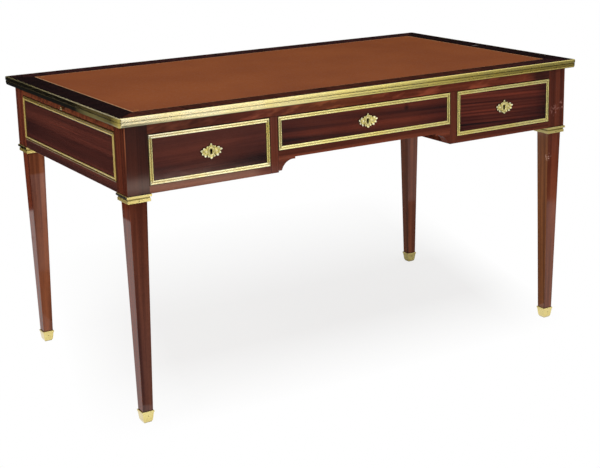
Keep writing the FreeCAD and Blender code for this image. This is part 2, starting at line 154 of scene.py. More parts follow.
def polished_mahogany(name, grain, deep, warm, stripe, turn=0.0):
    """Mahogany with ribbon stripes, fine fibres and short open pores along one axis, under French polish."""
    material, tree, shader = start_finish(name)
    ribbon = noise(tree, stretched(tree, grain, 0.9, stripe, turn), 4.0, 0.55, 0.25)
    drift = noise(tree, stretched(tree, grain, 2.0, 7.0), 3.0, 0.5)
    fibre = noise(tree, stretched(tree, grain, 9.0, 620.0), 3.0, 0.6)
    pores = noise(tree, stretched(tree, grain, 150.0, 2600.0), 1.0, 0.5)
    colour = blend(tree, spread(tree, ribbon, 0.34, 0.66), deep, warm)
    shade = blend(tree, spread(tree, drift, 0.35, 0.7), (0.80, 0.76, 0.80, 1.0), (1.18, 1.14, 1.05, 1.0))
    colour = blend(tree, 1.0, colour, shade, "MULTIPLY")
    colour = blend(tree, spread(tree, fibre, 0.3, 0.7, 0.30, 0.0), colour, deep)
    pore = spread(tree, pores, 0.60, 0.72)
    colour = blend(tree, spread(tree, pores, 0.60, 0.72, 0.0, 0.55), colour, paint(26, 11, 9))
    soft, arris = rubbed_edges(tree, 0.0007, 0.0018)
    rubbed = noise(tree, stretched(tree, grain, 30.0, 90.0), 3.0)
    wear = both(tree, arris, spread(tree, rubbed, 0.42, 0.62, 0.0, 0.5))
    colour = blend(tree, wear, colour, paint(140, 76, 46))
    # Dirt and painted shade darken the wood in its corners and recesses
    shelter = add(tree, "AmbientOcclusion", {"Distance": 0.005}, samples=8).outputs["AO"]
    colour = blend(tree, spread(tree, shelter, 0.55, 0.92, 0.85, 0.0), colour, paint(22, 9, 6))
    hollows = {"Strength": 0.12, "Distance": 0.0003, "Height": pore, "Normal": soft}
    bump = add(tree, "Bump", hollows, invert=True)
    polish = noise(tree, stretched(tree, grain, 14.0, 22.0))
    ripple = add(tree, "Bump", {"Strength": 0.05, "Distance": 0.002, "Height": polish, "Normal": soft})
    join(tree, shader, {
        "Base Color": colour,
        "Roughness": spread(tree, fibre, 0.3, 0.7, 0.36, 0.50),
        "Normal": bump.outputs["Normal"],
        "Specular IOR Level": 0.0,
        "Coat Weight": full_polish,
        "Coat Roughness": 0.07,
        "Coat IOR": 1.42,
        "Coat Normal": ripple.outputs["Normal"],
    })
    return material


def give(material, *names):
    """Put a finish on CAD nodes."""
    for name in names:
        slots = nodes[name].data.materials
        if not slots:
            slots.append(material)
        for index in range(len(slots)):
            slots[index] = material


def lay_over(material, mask, colour, mode="MIX"):
    """Lay another colour over a finish where a mask is 1."""
    tree = material.node_tree
    base = shader_of(material).inputs["Base Color"]
    tree.links.new(blend(tree, mask, base.links[0].from_socket, colour, mode), base)


def tint(material, mask, shade):
    """Multiply the colour of a finish by a shade where a mask is 1."""
    lay_over(material, mask, (*shade, 1.0), "MULTIPLY")


def near(tree, point, full, gone):
    """A mask that is 1 close to a point and fades to nothing further off."""
    return spread(tree, distance(tree, place_on(tree), point), full, gone, 1.0, 0.0)


def looking_against(tree, axis, full=-0.9, gone=-0.6):
    """A mask that is 1 on the faces that look against an axis."""
    normal = add(tree, "NewGeometry").outputs["True Normal"]
    outward = add(tree, "SeparateXYZ", {"Vector": normal}).outputs[axis]
    return spread(tree, outward, full, gone, 1.0, 0.0)


taper_top = 0.556
palest_height = 0.15
line_blur = 0.003


def painted_leg_light(material, shades, at_top):
    """Painted light and reflection on a leg below its block, full low down and a given share at the block.
    Each shade goes on the face that looks against an axis.
    """
    tree = material.node_tree
    height = coordinate(tree, "Z")
    below = spread(tree, height, palest_height, taper_top, 1.0, at_top)
    under_block = spread(tree, height, taper_top - line_blur, taper_top, 1.0, 0.0)
    for axis, shade in shades.items():
        faded = both(tree, looking_against(tree, axis), below)
        tint(material, both(tree, faded, under_block), shade)


def scuff(material, point, full, gone, colour):
    """Pale marks where the polish is scratched through, scattered about a point."""
    tree = material.node_tree
    marks = noise(tree, stretched(tree, "Z", 90.0, 260.0, 24.0), 2.0, 0.6)
    scratches = spread(tree, marks, 0.56, 0.62)
    lay_over(material, both(tree, scratches, near(tree, point, full, gone)), colour)


leg_stripe = 70.0
mahogany_deep = paint(72, 32, 22)
mahogany_warm = paint(118, 59, 40)
# Each face of the back legs below the blocks gets painted light and reflection
back_shades = {
    "left": ({"X": (1.10, 1.05, 0.95), "Y": (1.90, 2.50, 2.10)}, 0.95),
    "right": ({"X": (1.25, 1.70, 1.40), "Y": (1.45, 1.90, 1.75)}, 0.35),
}
back_legs = {}
for side, (shades, at_top) in back_shades.items():
    name = "mahogany_back_" + side
    back_legs[side] = polished_mahogany(name, "Z", mahogany_deep, mahogany_warm, leg_stripe)
    painted_leg_light(back_legs[side], shades, at_top)
    give(back_legs[side], "leg_back_" + side)

# The front of the back left leg has a cool sheen, from a clear line down to where it fades
sheen_top = 0.492
sheen_foot = 0.360
tree = back_legs["left"].node_tree
height = coordinate(tree, "Z")
under_line = spread(tree, height, sheen_top - line_blur, sheen_top + line_blur, 1.0, 0.0)
under_line = both(tree, under_line, spread(tree, height, sheen_foot, sheen_top))
tint(back_legs["left"], both(tree, looking_against(tree, "Y"), under_line), (1.22, 1.70, 2.80))

# The front of the left block is darker and purplish, most at the top under the overhang: a darker veneer with
# painted shade
front_left_leg = polished_mahogany("mahogany_front_left", "Z", paint(60, 27, 19), paint(98, 48, 32), leg_stripe)
low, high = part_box("leg_front_left")
front_face = low.y
facing_depth = 0.0003
facing_blur = 0.0001
tree = front_left_leg.node_tree
back = coordinate(tree, "Y")
height = coordinate(tree, "Z")
facing_back = front_face + facing_depth
facing = spread(tree, back, facing_back - facing_blur, facing_back + facing_blur, 1.0, 0.0)
tint(front_left_leg, both(tree, facing, spread(tree, height, 0.575, 0.700, 0.62, 1.0)), (0.42, 0.46, 0.62))
# Below the block, painted light falls on its left face and a painted cool reflection on its front
painted_leg_light(front_left_leg, {"X": (1.75, 1.45, 1.0)}, 0.45)
painted_leg_light(front_left_leg, {"Y": (1.45, 2.30, 3.10)}, 0.1)

# Its left face has lost its polish close under the collar, and the block's outer arris is painted pale, as
# wear with a painted highlight
polish_top = 0.511
dull = spread(tree, height, polish_top - line_blur, polish_top + line_blur)
dull = both(tree, dull, spread(tree, height, taper_top - line_blur, taper_top, 1.0, 0.0))
dull = both(tree, dull, looking_against(tree, "X"))
join(tree, shader_of(front_left_leg), {"Coat Weight": spread(tree, dull, 0.0, 1.0, full_polish, 0.1)})
level = add(tree, "CombineXYZ", {"X": coordinate(tree, "X"), "Y": back}).outputs["Vector"]
from_arris = distance(tree, level, (low.x, front_face, 0.0))
worn = both(tree, spread(tree, from_arris, 0.0008, 0.0024, 0.8, 0.0), spread(tree, height, 0.62, 0.70))
lay_over(front_left_leg, worn, paint(158, 92, 60))
give(front_left_leg, "leg_front_left")

# The right block is scratched near its outer edge, and the leg's inner arris has lost a chip. Below the
# block, its faces get painted light and reflection
scratched_leg = polished_mahogany("mahogany_front_right", "Z", mahogany_deep, mahogany_warm, leg_stripe)
painted_leg_light(scratched_leg, {"X": (2.10, 3.20, 2.00)}, 0.8)
painted_leg_light(scratched_leg, {"Y": (1.40, 1.90, 1.80)}, -0.3)
scuff(scratched_leg, (0.632, front_face, 0.620), 0.008, 0.020, paint(140, 92, 82))
scuff(scratched_leg, (0.660, front_face, 0.632), 0.006, 0.018, paint(148, 100, 90))
scuff(scratched_leg, (0.6195, -0.3530, 0.486), 0.006, 0.014, paint(206, 164, 146))
give(scratched_leg, "leg_front_right")


# Leg mounts: cast brass collars under the blocks and brass shoes on the feet, filed, burnished and
# gilt. The recesses keep a brown bloom, and the high edges are rubbed bright.

def evenly(tree, cycles):
    """Places on the piece, in cycles to the metre each way."""
    return stretched(tree, "X", cycles, cycles)


def burnished_brass(name, bright, dull, roughness, recess, marks=0.01, metal=1.0):
    """Lacquered gilt brass: fine tool marks, duller patches, and dirt where the light doesn't reach."""
    material, tree, shader = start_finish(name)
    patch = noise(tree, evenly(tree, 14.0))
    mark = noise(tree, evenly(tree, 900.0))
    colour = blend(tree, spread(tree, patch, 0.35, 0.7), bright, dull)
    soft, arris = rubbed_edges(tree, 0.0005, 0.0011)
    colour = blend(tree, spread(tree, arris, 0.0, 1.0, 0.0, 0.4), colour, paint(255, 236, 166))
    shelter = add(tree, "AmbientOcclusion", {"Distance": recess}, samples=16).outputs["AO"]
    colour = blend(tree, spread(tree, shelter, 0.30, 0.72, 0.80, 0.0), colour, paint(66, 48, 14))
    bump = add(tree, "Bump", {"Strength": marks, "Distance": 0.0003, "Height": mark, "Normal": soft})
    join(tree, shader, {
        "Base Color": colour,
        "Roughness": spread(tree, patch, 0.3, 0.7, roughness - 0.02, roughness + 0.05),
        "Normal": bump.outputs["Normal"],
        "Metallic": metal,
        "Coat Weight": 1.0,
        "Coat Roughness": 0.12,
    })
    return material


def folded_place(tree):
    """The place on the piece without its signs, so that the four corners fall together."""
    return add(tree, "VectorMath", {0: place_on(tree)}, operation="ABSOLUTE").outputs["Vector"]


def within(tree, value, middle, reach):
    """A mask that is 1 where a value is within reach of another."""
    return reckon(tree, "COMPARE", value, middle, reach)


mount_bright = paint(236, 219, 138)
mount_dull = paint(212, 190, 102)
mount_brass = burnished_brass("brass_mounts", mount_bright, mount_dull, 0.24, 0.004, metal=0.6)
tree = mount_brass.node_tree

# A small pin with a dark head holds each collar and shoe, in front and behind
pin_radius = 0.0010
pin_heights = (0.0175, 0.558)
low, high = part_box("sabot_front_right")
flattened = {0: folded_place(tree), 1: (1.0, 0.0, 1.0)}
level = add(tree, "VectorMath", flattened, operation="MULTIPLY").outputs["Vector"]
for pin_height in pin_heights:
    apart = distance(tree, level, ((low.x + high.x) / 2, 0.0, pin_height))
    lay_over(mount_brass, spread(tree, apart, pin_radius, pin_radius * 1.5, 1.0, 0.0), paint(86, 66, 26))

# Dirt lies in the neck of each collar. The left legs' outer sides have painted shade, and a nearly black
# painted reflection on the upper band
collar_neck = 0.5640
neck_half_height = 0.0022
upper_band_foot = 0.5650
band_blur = 0.0005
height = coordinate(tree, "Z")
tint(mount_brass, within(tree, height, collar_neck, neck_half_height), (0.36, 0.34, 0.16))
left_legs = spread(tree, coordinate(tree, "X"), -0.1, 0.1, 1.0, 0.0)
left_side = both(tree, left_legs, looking_against(tree, "X"))
tint(mount_brass, left_side, (0.78, 0.72, 0.58))
dark_reflection = both(tree, left_side, spread(tree, height, upper_band_foot, upper_band_foot + band_blur))
lay_over(mount_brass, dark_reflection, paint(26, 20, 9))
join(tree, shader_of(mount_brass), {"Coat Weight": spread(tree, dark_reflection, 0.0, 1.0, 1.0, 0.0)})
give(mount_brass, "leg_collars")
for corner in ("front_left", "front_right", "back_left", "back_right"):
    give(mount_brass, "sabot_" + corner)


# Frieze: mahogany rails, dividers and shaped kneehole brackets between the blocks, tenoned and glued.
# The end boards and the back are faced with a darker, straighter veneer, with the grain lying flat.

rail_stripe = 60.0
rail_mahogany = polished_mahogany("mahogany_rails", "X", mahogany_deep, mahogany_warm, rail_stripe)
tree = rail_mahogany.node_tree
# The parts in this finish at the left, such as the rail under the left drawer, are paler with a painted
# reflection
left_painted_reflection = spread(tree, coordinate(tree, "X"), -0.34, -0.30, 1.0, 0.0)
tint(rail_mahogany, left_painted_reflection, (1.24, 1.46, 1.26))
give(rail_mahogany, "front_rail_left", "front_rail_centre", "front_rail_right", "kneehole_brackets")
give(rail_mahogany, "partition_left", "partition_right")

# The top rail is redder and mottled, dark at both ends, and has painted shade along the gaps over the drawers
top_rail_deep = paint(92, 39, 25)
top_rail_warm = paint(136, 66, 41)
top_rail_mahogany = polished_mahogany("mahogany_top_rail", "X", top_rail_deep, top_rail_warm, rail_stripe)
low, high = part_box("front_top_rail")
gap_shade = paint(24, 11, 9)
tree = top_rail_mahogany.node_tree
mottle = noise(tree, stretched(tree, "X", 11.0, 40.0, 8.0), 3.0, 0.6)
lay_over(top_rail_mahogany, spread(tree, mottle, 0.48, 0.66, 0.0, 0.75), paint(150, 74, 50))
tint(top_rail_mahogany, near(tree, (0.600, front_face, 0.722), 0.034, 0.08), (0.26, 0.30, 0.46))
left_end = spread(tree, coordinate(tree, "X"), -0.47, -0.36, 1.0, 0.0)
tint(top_rail_mahogany, left_end, (0.56, 0.62, 0.60))
tint(top_rail_mahogany, near(tree, (-0.12, front_face, 0.727), 0.05, 0.20), (1.40, 1.75, 1.25))
over_gap = spread(tree, coordinate(tree, "Z"), low.z + 0.0008, low.z + 0.0018, 0.8, 0.0)
lay_over(top_rail_mahogany, over_gap, gap_shade)
give(top_rail_mahogany, "front_top_rail")

# The dividers have painted shade along the gaps on both sides
gap_reach = 0.0016
upright_mahogany = polished_mahogany("mahogany_upright", "Z", mahogany_deep, mahogany_warm, leg_stripe)
low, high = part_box("muntin_right")
tree = upright_mahogany.node_tree
from_middle = reckon(tree, "ABSOLUTE", coordinate(tree, "X"))
for edge, inner in ((low.x, low.x + gap_reach), (high.x, high.x - gap_reach)):
    lay_over(upright_mahogany, spread(tree, from_middle, edge, inner, 0.9, 0.0), gap_shade)
give(upright_mahogany, "muntin_left", "muntin_right")

# The end boards are paler below their brass frames, and dirt and painted shade lie along the frames' inner
# edges
frame_bar = 0.010
dirt_and_shade_reach = 0.004
under_frame = 0.0235
frame_height = 0.1195
end_veneer = polished_mahogany("veneer_ends", "Y", paint(46, 24, 23), paint(88, 45, 37), 56.0)
low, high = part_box("end_panel_left")
field_bottom = low.z + under_frame
field_top = field_bottom + frame_height
middle = ((low + high) / 2).y, (field_bottom + field_top) / 2
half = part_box("end_moulding_left")[1].y, (field_top - field_bottom) / 2
tree = end_veneer.node_tree
below = spread(tree, coordinate(tree, "Z"), field_bottom - 0.0005, field_bottom, 1.0, 0.0)
tint(end_veneer, below, (1.5, 1.6, 1.5))
above = spread(tree, below, 0.0, 1.0, 1.0, 0.0)
for axis, centre, reach in zip("YZ", middle, half):
    inner = reach - frame_bar
    offset = reckon(tree, "ABSOLUTE", reckon(tree, "SUBTRACT", coordinate(tree, axis), centre))
    dirt_and_shade = spread(tree, offset, inner - dirt_and_shade_reach, inner, 0.0, 0.75)
    lay_over(end_veneer, both(tree, above, dirt_and_shade), paint(22, 11, 11))
give(end_veneer, "end_panel_left", "end_panel_right")
panel_deep = paint(43, 22, 21)
panel_warm = paint(98, 49, 38)
give(polished_mahogany("veneer_back", "X", panel_deep, panel_warm, 52.0), "back_frieze")


# Guides: planed oak runners under the drawers and bearers under the end slides, glued inside the
# frieze. They are bare wood, with a few darker stains.

def bare_oak(name, grain):
    """Planed oak with open grain, growth rings and a few darker stains."""
    material, tree, shader = start_finish(name)
    rings = noise(tree, stretched(tree, grain, 2.2, 120.0), 4.0, 0.6, 0.3)
    pores = noise(tree, stretched(tree, grain, 60.0, 1500.0), 2.0)
    stains = noise(tree, stretched(tree, grain, 5.0, 9.0), 3.0)
    colour = blend(tree, spread(tree, rings, 0.35, 0.68), paint(136, 100, 62), paint(186, 150, 102))
    colour = blend(tree, spread(tree, pores, 0.58, 0.72, 0.0, 0.5), colour, paint(84, 58, 34))
    colour = blend(tree, spread(tree, stains, 0.5, 0.75, 0.0, 0.4), colour, paint(120, 84, 50))
    soft, arris = rubbed_edges(tree, 0.0006, 0.0015)
    hollows = {"Strength": 0.25, "Distance": 0.0004, "Height": pores, "Normal": soft}
    bump = add(tree, "Bump", hollows, invert=True)
    join(tree, shader, {
        "Base Color": colour,
        "Roughness": spread(tree, rings, 0.3, 0.7, 0.55, 0.72),
        "Normal": bump.outputs["Normal"],
        "Specular IOR Level": 0.3,
    })
    return material


oak_lengthways = bare_oak("oak_lengthways", "X")
oak_backways = bare_oak("oak_backways", "Y")
give(oak_backways, "drawer_runners")
give(oak_lengthways, "slide_bearers")


# Frame mouldings: drawn brass strip with two beads and a groove, mitred at the corners and pinned
# into a rebate round each end field and each field of the back.

# The frames on the ends are darkest in the groove, with dirt, and along their lowest and highest beads, with
# a painted dark reflection
bead_blur = 0.0005
groove_floor = 0.0009
groove_lip = 0.0017
end_brass = burnished_brass("brass_ends", paint(252, 228, 142), paint(234, 204, 112), 0.24, 0.0020, metal=0.5)
end_face = -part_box("end_panel_left")[0].x
low_split = field_bottom + frame_bar / 2
high_split = field_top - frame_bar / 2
tree = end_brass.node_tree
height = coordinate(tree, "Z")
proud = reckon(tree, "ABSOLUTE", coordinate(tree, "X"))
groove = spread(tree, proud, end_face + groove_floor, end_face + groove_lip, 1.0, 0.0)
tint(end_brass, groove, (0.26, 0.20, 0.08))
lowest_bead = spread(tree, height, low_split - bead_blur, low_split + bead_blur, 1.0, 0.0)
tint(end_brass, lowest_bead, (0.24, 0.18, 0.09))
join(tree, shader_of(end_brass), {"Coat Weight": spread(tree, lowest_bead, 0.0, 1.0, 1.0, 0.1)})
highest_bead = spread(tree, height, high_split - bead_blur, high_split + bead_blur)
tint(end_brass, highest_bead, (0.36, 0.31, 0.20))
give(end_brass, "end_moulding_left", "end_moulding_right")

# The strip on the fronts and the back has a painted highlight that pales it at the left, painted duller light
# that yellows it to the right, and less dirt in its groove
# The uprights of the left drawer's frame are a deeper gold, with less of the painted highlight
strip_brass = burnished_brass("brass_strip", paint(255, 246, 186), paint(244, 228, 150), 0.22, 0.0020)
low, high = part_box("drawer_left_front")
tree = strip_brass.node_tree
along = coordinate(tree, "X")
tint(strip_brass, spread(tree, along, -0.6, -0.2, 1.0, 0.0), (0.97, 0.99, 1.32))
tint(strip_brass, spread(tree, along, -0.30, -0.10), (1.0, 0.98, 0.74))
left_frame = spread(tree, along, high.x + 0.004, high.x + 0.010, 1.0, 0.0)
upright = within(tree, coordinate(tree, "Z"), (low.z + high.z) / 2, (high.z - low.z) / 2 - frame_bar)
tint(strip_brass, both(tree, left_frame, upright), (0.98, 0.92, 0.58))
proud = reckon(tree, "ABSOLUTE", coordinate(tree, "Y"))
groove = spread(tree, proud, groove_floor - low.y, groove_lip - low.y, 1.0, 0.0)
tint(strip_brass, groove, (0.56, 0.50, 0.32))
give(strip_brass, "back_mouldings")


# Drawers: oak boxes with mahogany veneered fronts, each framed in the same brass strip. The left and
# centre fronts are plain striped veneer, and the right one has a close ribbon figure.

front_veneers = {
    "left": polished_mahogany("veneer_drawer_left", "X", panel_deep, panel_warm, 40.0, 1.5),
    "centre": polished_mahogany("veneer_drawer_centre", "X", panel_deep, paint(104, 47, 33), 46.0, -2.0),
    "right": polished_mahogany("veneer_drawer_right", "X", paint(56, 27, 23), paint(132, 60, 41), 75.0, -3.0),
}

# The right front's ribbons lie close together, and painted shade darkens it towards its lower and right edges
ribboned = front_veneers["right"]
tree = ribboned.node_tree
low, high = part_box("drawer_right_front")
bands = {"Vector": stretched(tree, "X", 2.0, 33.0, -2.0), "Scale": 1.0, "Distortion": 1.6, "Detail": 2.0}
ribbon = add(tree, "TexWave", bands, bands_direction="Z").outputs["Fac"]
tint(ribboned, spread(tree, ribbon, 0.1, 0.7, 0.85, 0.0), (0.56, 0.54, 0.62))
lower_part = spread(tree, coordinate(tree, "Z"), low.z + 0.018, low.z + 0.055, 1.0, 0.0)
tint(ribboned, lower_part, (0.60, 0.62, 0.76))
right_edge = spread(tree, coordinate(tree, "X"), high.x - 0.050, high.x - 0.012)
tint(ribboned, right_edge, (0.48, 0.50, 0.66))

# Each front has painted shade towards its lower corners, where less light has reached it, and is painted
# black in the keyhole as its shade
hole_reach = 0.0075
hole_blur = 0.0003
for name, veneer in front_veneers.items():
    label = "drawer_" + name
    low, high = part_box(label + "_front")
    tree = veneer.node_tree
    for corner_x, reach in ((low.x, 0.10), (high.x, 0.14)):
        tint(veneer, near(tree, (corner_x, low.y, low.z), 0.02, reach), (0.58, 0.56, 0.72))
    keyhole = ((low.x + high.x) / 2, low.y, (low.z + high.z) / 2)
    hole = near(tree, keyhole, hole_reach - hole_blur, hole_reach + hole_blur)
    lay_over(veneer, hole, paint(8, 5, 4))
    give(veneer, label + "_front")
    give(strip_brass, label + "_moulding")
    give(oak_backways, label + "_sides", label + "_bottom")
    give(oak_lengthways, label + "_back")

# The centre front has a small dark knot to the right of its key plate
tree = front_veneers["centre"].node_tree
low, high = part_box("drawer_centre_front")
knot = (0.122, low.y, high.z - 0.023)
lay_over(front_veneers["centre"], near(tree, knot, 0.0015, 0.0105), paint(42, 20, 18))


# Locks: filed steel cases let into the drawer fronts from behind, each with a bolt that the key
# throws upwards into the top rail.

def filed_steel(name):
    """Steel with fine file strokes and a brown film of old oil."""
    material, tree, shader = start_finish(name)
    strokes = noise(tree, stretched(tree, "X", 40.0, 1800.0), 3.0)
    film = noise(tree, evenly(tree, 60.0), 4.0)
    bump = add(tree, "Bump", {"Strength": 0.2, "Distance": 0.0002, "Height": strokes})
    oiled = spread(tree, film, 0.4, 0.7, 0.0, 0.8)
    join(tree, shader, {
        "Base Color": blend(tree, oiled, paint(176, 172, 164), paint(104, 84, 62)),
        "Roughness": spread(tree, film, 0.3, 0.7, 0.32, 0.55),
        "Normal": bump.outputs["Normal"],
        "Metallic": 1.0,
    })
    return material


lock_steel = filed_steel("steel_locks")
for name in front_veneers:
    give(lock_steel, "drawer_%s_lock_case" % name, "drawer_%s_lock_bolt" % name)


# Key plates: cast and chased brass, an oval cartouche round the keyhole with a sprig of acanthus on
# each side, a pointed bud above and a shell below. They are pinned to the drawer fronts.

# The casting's very pale brass is a painted highlight on its proud parts
cast_bright = paint(255, 250, 222)
cast_dull = paint(250, 240, 190)
cast_brass = burnished_brass("brass_castings", cast_bright, cast_dull, 0.22, 0.0016, marks=0.04, metal=0.6)
# The keyhole's walls are painted nearly black as the shade inside it
keyhole_shade = burnished_brass("brass_keyholes", paint(26, 19, 11), paint(16, 11, 7), 0.6, 0.003)
low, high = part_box("drawer_left_front")
tree = cast_brass.node_tree
# Painted shade turns the parts set back near the drawer front a darker gold
set_back_shade = spread(tree, coordinate(tree, "Y"), low.y - 0.0035, low.y - 0.0022, 0.0, 0.9)
lay_over(cast_brass, set_back_shade, paint(204, 188, 84))

# Sizes of the casting, in millimetres
millimetre = 0.001
oval_half_width = 7.4
oval_half_height = 9.4
rim_thickness = 1.2
field_lift = 1.9
eye_radius = 3.3
eye_lift = 2.5
slot_half_width = 2.5
slot_drop = 4.0
hole_recess = 0.4
rim_sink = 0.2
plate_sides = 40
body_half_width = 21.0
body_half_height = 8.2
body_thickness = 2.6
boss_half_width = 10.8
boss_half_height = 13.2
boss_thickness = 1.7
bud_radius = 2.0
bud_offset = 15.0
body_drop = 0.4
leaf_thickness = 2.8
vein_depth = 0.7
root_lift = 0.8

# Leaves on the right side: root across and up, angle from upright, length, width and curl of the tip
side_leaves = (
    (13.0, 2.0, 50.0, 11.5, 8.0, 2.6),
    (16.5, 1.0, 79.0, 13.0, 6.6, 2.8),
    (15.5, -1.2, 116.0, 11.5, 7.0, 2.4),
    (12.5, -2.4, 154.0, 11.5, 8.2, 2.8),
    (7.6, 5.4, 28.0, 8.0, 6.0, 1.6),
)
middle_leaves = (
    (0.0, 8.0, 0.0, 11.6, 6.4, 2.0),
    (-3.4, 8.0, -30.0, 6.2, 5.6, 1.8),
    (3.4, 8.0, 30.0, 6.2, 5.6, 1.8),
    (0.0, -7.4, 180.0, 11.0, 10.0, 2.2),
    (-4.0, -7.0, -142.0, 8.6, 7.4, 2.2),
    (4.0, -7.0, 142.0, 8.6, 7.4, 2.2),
)


def leaf_lobe(bm, root_x, root_z, angle, length, width, curl):
    """One chased leaf: pointed at both ends, hollowed by a vein and curled forwards at the tip."""
    leaf = bmesh.ops.create_uvsphere(bm, u_segments=14, v_segments=12, radius=0.5)["verts"]
    for vert in leaf:
        along = vert.co.z + 0.5
        ring = max(0.001, math.sqrt(max(0.0, along - along * along)))
        across = vert.co.x / ring
        outline = math.sin(math.pi * min(1.0, along) ** 1.25) ** 0.8
        vein = max(0.0, 1.0 - abs(across) * 2.4)
        front = vert.co.y < 0.0
        vert.co.x = across * 0.5 * width * outline
        vert.co.y = vert.co.y / ring * 0.5 * leaf_thickness * outline
        vert.co.z = length * along
        if front:
            vert.co.y += vein_depth * vein * outline
        vert.co.y -= root_lift + curl * along ** 2
    bmesh.ops.rotate(bm, verts=leaf, cent=(0, 0, 0), matrix=Matrix.Rotation(math.radians(angle), 3, "Y"))
    bmesh.ops.translate(bm, verts=leaf, vec=(root_x, 0, root_z))


def only(made, kind):
    """What an operator made, of one kind."""
    return [part for part in made if isinstance(part, kind)]


def key_plate(centre):
    """The whole casting, in millimetres about its middle and then set on the drawer front."""
    bm = bmesh.new()

    # The field of the cartouche runs from the oval in to the keyhole, and the keyhole goes back
    oval = bmesh.ops.create_circle(bm, cap_ends=False, segments=plate_sides, radius=1.0)["verts"]
    hole = bmesh.ops.create_circle(bm, cap_ends=False, segments=plate_sides, radius=1.0)["verts"]
    for loop in (oval, hole):
        bmesh.ops.rotate(bm, verts=loop, cent=(0, 0, 0), matrix=Matrix.Rotation(math.pi / 2.0, 3, "X"))
    bmesh.ops.scale(bm, verts=oval, vec=(oval_half_width, 1.0, oval_half_height))
    bmesh.ops.scale(bm, verts=hole, vec=(eye_radius, 1.0, eye_radius))
    for vert in hole:
        if vert.co.z < -0.6 * eye_radius:
            vert.co.x = max(-slot_half_width, min(slot_half_width, vert.co.x))
            vert.co.z = -slot_drop - eye_radius - eye_lift
    bmesh.ops.translate(bm, verts=hole, vec=(0, hole_recess, eye_lift))
    bmesh.ops.translate(bm, verts=oval + hole, vec=(0, -field_lift, 0))
    bmesh.ops.bridge_loops(bm, edges=list(bm.edges))
    for loop, depth, finish in ((hole, field_lift - hole_recess, 1), (oval, field_lift, 0)):
        edges = [edge for edge in bm.edges if edge.is_boundary and edge.verts[0] in loop]
        walls = bmesh.ops.extrude_edge_only(bm, edges=edges)["geom"]
        bmesh.ops.translate(bm, verts=only(walls, bmesh.types.BMVert), vec=(0, depth, 0))
        for wall in only(walls, bmesh.types.BMFace):
            wall.material_index = finish

    # The rim is a bead swept round the oval
    bead = bmesh.ops.create_circle(bm, cap_ends=False, segments=10, radius=rim_thickness)["verts"]
    bmesh.ops.translate(bm, verts=bead, vec=(oval_half_width, 0, 0))
    bead_edges = list({edge for vert in bead for edge in vert.link_edges})
    before = set(bm.verts)
    bmesh.ops.spin(bm, geom=bead + bead_edges, cent=(0, 0, 0), axis=(0, 1, 0), dvec=(0, 0, 0),
                   angle=2.0 * math.pi, steps=plate_sides, use_merge=True)
    rim = list(set(bm.verts) - before) + bead
    rim = [vert for vert in rim if vert.is_valid]
    for vert in rim:
        vert.co.z *= oval_half_height / oval_half_width
    bmesh.ops.translate(bm, verts=rim, vec=(0, rim_sink - field_lift, 0))

    for root_x, root_z, angle, length, width, curl in side_leaves:
        leaf_lobe(bm, root_x, root_z, angle, length, width, curl)
        leaf_lobe(bm, -root_x, root_z, -angle, length, width, curl)
    for root_x, root_z, angle, length, width, curl in middle_leaves:
        leaf_lobe(bm, root_x, root_z, angle, length, width, curl)

    # A low boss runs out from under the rim, and on each side a swelling with a small bud carries the sprig
    boss = bmesh.ops.create_circle(bm, cap_ends=False, segments=plate_sides, radius=1.0)["verts"]
    bmesh.ops.rotate(bm, verts=boss, cent=(0, 0, 0), matrix=Matrix.Rotation(math.pi / 2.0, 3, "X"))
    bmesh.ops.scale(bm, verts=boss, vec=(oval_half_width, 1.0, oval_half_height))
    bmesh.ops.translate(bm, verts=boss, vec=(0, -boss_thickness, 0))
    boss_edges = list({edge for vert in boss for edge in vert.link_edges})
    for spread_out, lift in ((0.6, 0.75), (1.0, 0.0)):
        skirt = bmesh.ops.extrude_edge_only(bm, edges=boss_edges)["geom"]
        boss_edges = [edge for edge in only(skirt, bmesh.types.BMEdge) if edge.is_boundary]
        boss_edges = [edge for edge in boss_edges if edge.verts[0] in skirt and edge.verts[1] in skirt]
        for vert in only(skirt, bmesh.types.BMVert):
            angle = math.atan2(vert.co.z / boss_half_height, vert.co.x / boss_half_width)
            vert.co.x += spread_out * (math.cos(angle) * boss_half_width - vert.co.x)
            vert.co.z += spread_out * (math.sin(angle) * boss_half_height - vert.co.z)
            vert.co.y = -boss_thickness * lift
    for side in (-1.0, 1.0):
        swelling = bmesh.ops.create_uvsphere(bm, u_segments=24, v_segments=12, radius=1.0)["verts"]
        half = (body_half_width - oval_half_width + 2.0) / 2.0
        bmesh.ops.scale(bm, verts=swelling, vec=(half, body_thickness, body_half_height))
        bmesh.ops.translate(bm, verts=swelling, vec=(side * (body_half_width - half), 0, -body_drop))
        bud = bmesh.ops.create_uvsphere(bm, u_segments=12, v_segments=8, radius=bud_radius)["verts"]
        bmesh.ops.translate(bm, verts=bud, vec=(side * bud_offset, -bud_radius, body_drop))

    bmesh.ops.remove_doubles(bm, verts=bm.verts, dist=0.001)
    bmesh.ops.recalc_face_normals(bm, faces=bm.faces)
    bmesh.ops.scale(bm, verts=bm.verts, vec=(millimetre, millimetre, millimetre))
    bmesh.ops.translate(bm, verts=bm.verts, vec=centre)
    return bm


def finished_piece(name, bm, *materials, smooth=True):
    """Make an object of a finished mesh, in place in the desk's frame."""
    mesh = bpy.data.meshes.new(name)
    bm.to_mesh(mesh)
    bm.free()
    for material in materials:
        mesh.materials.append(material)
    for face in mesh.polygons:
        face.use_smooth = smooth
    piece = bpy.data.objects.new(name, mesh)
    bpy.context.scene.collection.objects.link(piece)
    return piece


for name in front_veneers:
    label = "drawer_" + name
    low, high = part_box(label + "_front")
    centre = ((low.x + high.x) / 2, low.y, (low.z + high.z) / 2)
    plate = finished_piece("key_plate_" + name, key_plate(centre), cast_brass, keyhole_shade)
    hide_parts(label + "_escutcheon")
    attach(plate, label)


# End slides: mahogany boards that pull out above the end fields, each with a small turned brass knob
# and a panel of the same leather as the top.

